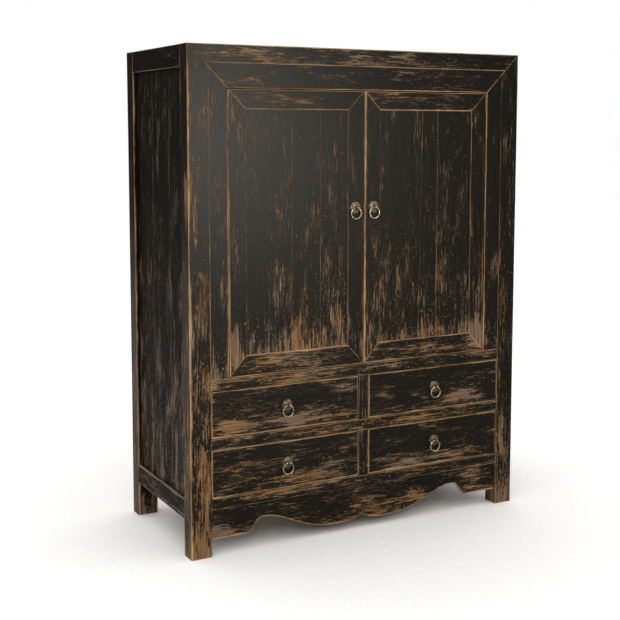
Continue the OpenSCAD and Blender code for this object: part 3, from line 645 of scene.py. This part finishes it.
# %% Back, top and rear rails
BACK_BOARDS, TOP_BOARDS = 6, 3
low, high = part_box("back_panels")
whole = bmesh.new()
for z0, z1 in ((bottom_high.z, mid_low.z), (mid_high.z, high.z)):
    for i in range(BACK_BOARDS):
        x0, x1 = (-inner + 2 * inner * (i + k) / BACK_BOARDS for k in (0, 1))
        ends = (x0, low.y, z0), (x1, high.y, z1)
        board(whole, *ends, 2, 0.16, {"-x": 1.4, "+x": 1.4, "-z": 1, "+z": 1}, ease=0.8, step=60)
piece("back_panels", whole, "carcase", dull_lacquer_with_painted_shade)

low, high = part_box("top_panel")
whole = bmesh.new()
for i in range(TOP_BOARDS):
    a, b = (front + post_d + (rear - front - 2 * post_d) * (i + k) / TOP_BOARDS for k in (0, 1))
    ends = (-side_in, a, low.z), (side_in, b, high.z)
    board(whole, *ends, 0, 0.30, {"-y": 2, "+y": 2}, ease=0.8, step=60)
piece("top_panel", whole, "carcase", dull_lacquer_with_painted_shade)

top_rail_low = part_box("top_rail_front")[0].z
REAR_RAIL_T = 40 * MM
ends = (-half_w, rear - post_d, top_rail_low), (half_w, rear, top)
whole = bmesh.new()
board(whole, *ends, 0, 0.14, {"+z": 3, "-z": 3}, cuts=both)
for z0, z1 in ((mid_low.z, mid_high.z), (bottom_low.z, bottom_high.z)):
    board(whole, (-inner, rear - REAR_RAIL_T, z0), (inner, rear, z1), 0, 0.14, {"+z": 2, "-z": 2})
piece("rear_rails", whole, "carcase", dull_lacquer_with_painted_shade)

# %% [markdown]
# ## The doors
# Each door is a mitred frame round a flat panel of boards, and turns on wooden pins above and below its
# hinge stile. The arrises where the doors meet take much handling, and the right door's has the widest worn
# strip.

# %% Doors
MEET_STRIP, HINGE_STRIP = {LEFT: 3, RIGHT: 8}, {LEFT: 6, RIGHT: 4}
# The seams between a panel's boards as shares of its width from the left, at the top and at the bottom
SEAMS = {LEFT: [(0.44, 0.44), (0.72, 0.72)], RIGHT: [(0.455, 0.42), (0.62, 0.62)]}
PIN_R, PIN_IN, PIN_BACK = 6.5 * MM, 9 * MM, 11 * MM
BATTEN_H = 34 * MM
for side, word in WORDS.items():
    body = f"door_{word}"
    stiles = [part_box(f"{body}_meeting_stile"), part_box(f"{body}_hinge_stile")]
    (left_low, left_high), (right_low, right_high) = sorted(stiles, key=lambda box: box[0].x)
    meet_low, meet_high = stiles[0]
    z0, z1, y0, y1 = meet_low.z, meet_high.z, meet_low.y, meet_high.y
    panel_z0, panel_z1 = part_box(f"{body}_bottom_rail")[1].z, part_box(f"{body}_top_rail")[0].z
    middle_x = (left_low.x + right_high.x) / 2
    mitres = {}
    for end, x_out, x_in in (("left", left_low.x, left_high.x), ("right", right_high.x, right_low.x)):
        for height, z_out, z_in in (("low", z0, panel_z0), ("high", z1, panel_z1)):
            normal = Vector((z_in - z_out, 0, x_out - x_in))
            if normal.x * (middle_x - x_out) < 0:
                normal = -normal
            mitres[end, height] = ((x_out, 0, z_out), normal)

    for end, low, high, out, into in (
        ("left", left_low, left_high, "-x", "+x"), ("right", right_low, right_high, "+x", "-x"),
    ):
        meeting = (end == "right") == (side == LEFT)
        strips = {out: (MEET_STRIP if meeting else HINGE_STRIP)[side], into: 2.4, "-y": 8}
        whole = bmesh.new()
        board(
            whole, (low.x, y0, z0), (high.x, y1, z1), 2, 0.18, strips,
            cuts=[(*mitres[end, height], 2.6) for height in ("low", "high")],
            rounds=[(out, "-y", 4 if meeting else 8)],
        )
        if not meeting:
            stile_low, stile_high = stiles[1]
            x = low.x + PIN_IN if side == LEFT else high.x - PIN_IN
            for a, b in ((stile_low.z, z0), (z1, stile_high.z)):
                pin = bmesh.new()
                bmesh.ops.create_cone(
                    pin, cap_ends=True, segments=32, radius1=PIN_R, radius2=PIN_R, depth=b - a,
                    matrix=Matrix.Translation((x, front + PIN_BACK, (a + b) / 2)),
                )
                tell_paint(pin, [(unit(2), b, 2)], 2, 0.3)
                merge_into(whole, pin)
        piece(f"{body}_{'meeting' if meeting else 'hinge'}_stile", whole, body, front_lacquer)
    for kind, height, outer, a, b, strips, level in (
        ("bottom_rail", "low", "-z", z0, panel_z0, {"-z": 4, "+z": 4.5}, 0.10),
        ("top_rail", "high", "+z", panel_z1, z1, {"+z": 3, "-z": 4.5}, 0.25),
    ):
        whole = bmesh.new()
        board(
            whole, (left_low.x, y0, a), (right_high.x, y1, b), 0, level, {**strips, "-y": 6},
            cuts=[(mitres[end, height][0], -mitres[end, height][1], 2.6) for end in ("left", "right")],
            rounds=[(outer, "-y", 4)],
        )
        piece(f"{body}_{kind}", whole, body, front_lacquer)

    panel_low, panel_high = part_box(f"{body}_panel")
    wide = right_low.x - left_high.x
    seams = [(0, 0), *SEAMS[side], (1, 1)]
    whole = bmesh.new()
    for (a_top, a_low), (b_top, b_low) in zip(seams, seams[1:]):
        cuts = []
        for at_top, at_low, sign in ((a_top, a_low, -1), (b_top, b_low, 1)):
            if at_top != at_low:
                lean = (at_top - at_low) * wide / (panel_z1 - panel_z0)
                cuts.append(((left_high.x + wide * at_low, 0, panel_z0), (sign, 0, -sign * lean), 2.2))
        ends = [
            (left_high.x + wide * min(a_top, a_low), panel_low.y, panel_z0),
            (left_high.x + wide * max(b_top, b_low), panel_high.y, panel_z1),
        ]
        strips = {"-x": 0.7 if a_top else 2.4, "+x": 0.7 if b_top < 1 else 2.4, "+z": 2.5, "-z": 2.8}
        board(whole, *ends, 2, 0.225, strips, cuts=cuts, ease=0.8)
    piece(f"{body}_panel", whole, body, front_lacquer)

    low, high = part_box(f"{body}_battens")
    whole = bmesh.new()
    for z in (low.z, high.z - BATTEN_H):
        ends = (left_high.x, low.y, z), (right_low.x, high.y, z + BATTEN_H)
        board(whole, *ends, 0, 0.1, {"+z": 2, "-z": 2}, ease=3)
    piece(f"{body}_battens", whole, body, dull_lacquer_with_painted_shade)

# %% [markdown]
# ## Drawer fronts
# Each front is one board with the grain running across. Its arrises are rounded by years of use, and the
# lower edge is the most worn.

# %% Drawer fronts
DRAWERS = [f"drawer_{row}_{word}" for row in ("upper", "lower") for word in WORDS.values()]
for body in DRAWERS:
    whole = bmesh.new()
    strips = {"-x": 4.5, "+x": 4, "+z": 4.5, "-z": 6, "-y": 8}
    level = 0.10 if body == "drawer_lower_right" else 0.13
    board(whole, *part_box(f"{body}_front"), 0, level, strips, rounds=[("-x", "-y", 4), ("+x", "-y", 4)])
    piece(f"{body}_front", whole, body, front_lacquer)

# %% [markdown]
# ## Ring pulls
# A pull is a domed round plate, a staple whose eye stands out of it, and a ring that hangs in the eye. The
# plate, the eye and the ring are round, so each is one outline turned about an axis. The plate's outline has
# the shallow steps left by the lathe. The staple's shank goes through the wood and is bent over behind it.

# %% Pulls and rings
# Sizes in mm. DOME is the plate's height over its thickness, EYE_OUT how far the eye's middle stands out.
PLATE_R, PLATE_T, DOME, SHANK_R, STAPLE_R, EYE_R, EYE_OUT, BAR = 21, 1.2, 1.4, 2.0, 1.6, 4.6, 8.2, 4.5
CLINCH = (16, 1.5, 4)  # the shank's bent end behind the wood: its width, thickness and height


def turned(whole, outline, axis, centre, steps=64):
    """Turns a closed outline of points about an axis through the centre."""
    bm = bmesh.new()
    verts = [bm.verts.new(p) for p in outline]
    edges = [bm.edges.new(pair) for pair in zip(verts, verts[1:] + verts[:1])]
    bmesh.ops.spin(
        bm, geom=verts + edges, cent=centre, axis=axis, angle=2 * math.pi, steps=steps, use_merge=True,
    )
    bmesh.ops.remove_doubles(bm, verts=bm.verts, dist=1e-6)
    bmesh.ops.recalc_face_normals(bm, faces=bm.faces)
    for face in bm.faces:
        face.smooth = True
    merge_into(whole, bm)


def disc_points(centre, radius, right, up, count):
    """Points on a circle, for a bar's section."""
    turns = [2 * math.pi * i / count for i in range(count)]
    return [centre + right * radius * math.cos(t) + up * radius * math.sin(t) for t in turns]


TO_BACK = Matrix.Rotation(math.pi / 2, 4, "X")
for body in ["door_left", "door_right", *DRAWERS]:
    low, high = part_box(f"{body}_pull")
    ring_low, ring_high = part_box(f"{body}_ring")
    centre = (low + high) / 2
    face_y = (ring_low.y + ring_high.y) / 2 + EYE_OUT * MM
    whole = bmesh.new()
    # Radius and height of the plate's outline: underside, rim, two shallow rings, dome, hole
    outline = [
        (SHANK_R, 0), (PLATE_R, 0), (PLATE_R, 0.9), (PLATE_R - 0.4, PLATE_T),
        (PLATE_R - 2, PLATE_T + 0.1), (PLATE_R - 2.5, PLATE_T - 0.15), (PLATE_R - 3.2, PLATE_T + 0.25),
        (14, PLATE_T + 0.65), (13.4, PLATE_T + 0.4), (12.7, PLATE_T + 0.8), (8, PLATE_T + 1.2),
        (3.4, PLATE_T + DOME), (SHANK_R, PLATE_T + DOME - 0.4),
    ]
    points = [Vector((centre.x + r * MM, face_y - h * MM, centre.z)) for r, h in outline]
    turned(whole, points, (0, 1, 0), (centre.x, face_y, centre.z))
    eye = Vector((centre.x, face_y - EYE_OUT * MM, centre.z))
    section = disc_points(eye + unit(1, EYE_R * MM), STAPLE_R * MM, unit(1), unit(0), 16)
    turned(whole, section, (1, 0, 0), eye, 40)
    shank = bmesh.new()
    bmesh.ops.create_cone(
        shank, cap_ends=True, segments=24, radius1=SHANK_R * MM, radius2=SHANK_R * MM,
        depth=high.y - face_y + 2 * MM,
        matrix=Matrix.Translation((centre.x, (high.y + face_y - 2 * MM) / 2, centre.z)) @ TO_BACK,
    )
    merge_into(whole, shank)
    clinch = bmesh.new()
    bmesh.ops.create_cube(clinch, size=1)
    bmesh.ops.scale(clinch, vec=Vector(CLINCH) * MM, verts=clinch.verts)
    behind = (centre.x, high.y - CLINCH[1] / 2 * MM, centre.z)
    bmesh.ops.translate(clinch, vec=behind, verts=clinch.verts)
    bmesh.ops.bevel(
        clinch, geom=clinch.edges[:], offset=0.6 * MM, offset_type="OFFSET", segments=2, profile=0.5,
        affect="EDGES", material=-1,
    )
    merge_into(whole, clinch)
    piece(f"{body}_pull", whole, body, plate_brass)

    middle = (ring_low + ring_high) / 2
    ring_r = (ring_high.z - ring_low.z) / 2 - BAR / 2 * MM
    whole = bmesh.new()
    section = disc_points(middle + unit(0, ring_r), BAR / 2 * MM, unit(0), unit(1), 20)
    turned(whole, section, (0, 1, 0), middle, 96)
    piece(f"{body}_ring", whole, f"{body}_ring", ring_brass)

# %% [markdown]
# ## Floor, camera and lights
# A plain pale floor, a large soft light above it, and a small one in front to the left. One more lamp further
# right lights no surface by itself: it is only reflected, and gives the front's upper left its satin sheen.

# %% Floor
FLOOR_HALF = 8  # metres
pale_floor, tree, shader = new_material("pale_floor")
place = add(tree, "TexCoord").outputs["Object"]
speckle = add(tree, "TexNoise", {"Vector": place, "Scale": 1 / (25 * MM), "Detail": 2})
skin = add(tree, "ValToRGB", {0: speckle}, stops={0.3: "#f3f2f0", 0.7: "#f7f6f4"})
tree.links.new(skin.outputs[0], shader.inputs["Base Color"])
shader.inputs["Roughness"].default_value = 0.9
shader.inputs["Specular IOR Level"].default_value = 0.1
bm = bmesh.new()
bmesh.ops.create_grid(bm, x_segments=1, y_segments=1, size=FLOOR_HALF)
mesh = bpy.data.meshes.new("floor")
bm.to_mesh(mesh)
bm.free()
mesh.materials.append(pale_floor)
floor = bpy.data.objects.new("floor", mesh)
bpy.context.scene.collection.objects.link(floor)
print("floor:", 2 * FLOOR_HALF, "m square")

# %% Camera
FOCAL_SHARE = 1.845  # focal length over the sensor's width
lens = bpy.data.cameras.new("camera")
lens.sensor_width = 36
lens.lens = FOCAL_SHARE * lens.sensor_width
lens.shift_y = -0.11
camera = bpy.data.objects.new("camera", lens)
camera.location = (-2.108, -3.811, 1.469)
yaw, pitch, roll = (math.radians(angle) for angle in (28.16, -5.63, 0.03))
look = Vector((math.sin(yaw) * math.cos(pitch), math.cos(yaw) * math.cos(pitch), math.sin(pitch)))
camera.rotation_mode = "QUATERNION"
camera.rotation_quaternion = look.to_track_quat("-Z", "Y") @ Quaternion((0, 0, 1), roll)
bpy.context.scene.collection.objects.link(camera)
bpy.context.scene.camera = camera
bpy.context.scene.view_settings.view_transform = "Standard"
print("camera:", round(lens.lens, 1), "mm lens, height", round(camera.location.z, 2), "m")

# %% Lights
world = bpy.data.worlds.new("studio")
world.use_nodes = True
tree = world.node_tree
seen = add(tree, "LightPath").outputs["Is Camera Ray"]
strength = add(tree, "MapRange", {0: seen, 3: 0.10, 4: 1.0})
tree.nodes["Background"].inputs["Color"].default_value = (1, 1, 1, 1)
tree.links.new(strength.outputs[0], tree.nodes["Background"].inputs["Strength"])
bpy.context.scene.world = world


def softbox(name, place, aim, wide, high, power, lights_wood=True):
    """A rectangular light at a place, turned towards a point. With lights_wood off it is only reflected."""
    lamp = bpy.data.lights.new(name, "AREA")
    lamp.shape, lamp.size, lamp.size_y, lamp.energy = "RECTANGLE", wide, high, power
    made = bpy.data.objects.new(name, lamp)
    made.location = place
    made.rotation_mode = "QUATERNION"
    made.rotation_quaternion = (Vector(aim) - Vector(place)).to_track_quat("-Z", "Y")
    made.visible_diffuse = lights_wood
    bpy.context.scene.collection.objects.link(made)
    print("light:", name, power, "W")


softbox("overhead", (0, 0, 8), (0, 0, 0), 44, 44, 7700)
softbox("front_left", (-2.6, -4.4, 2.6), (-0.4, 0, 1.0), 1.8, 1.8, 45)
softbox("sheen", (1.0, -4.7, 1.45), (-0.6, front, 1.4), 0.8, 1.3, 400, lights_wood=False)
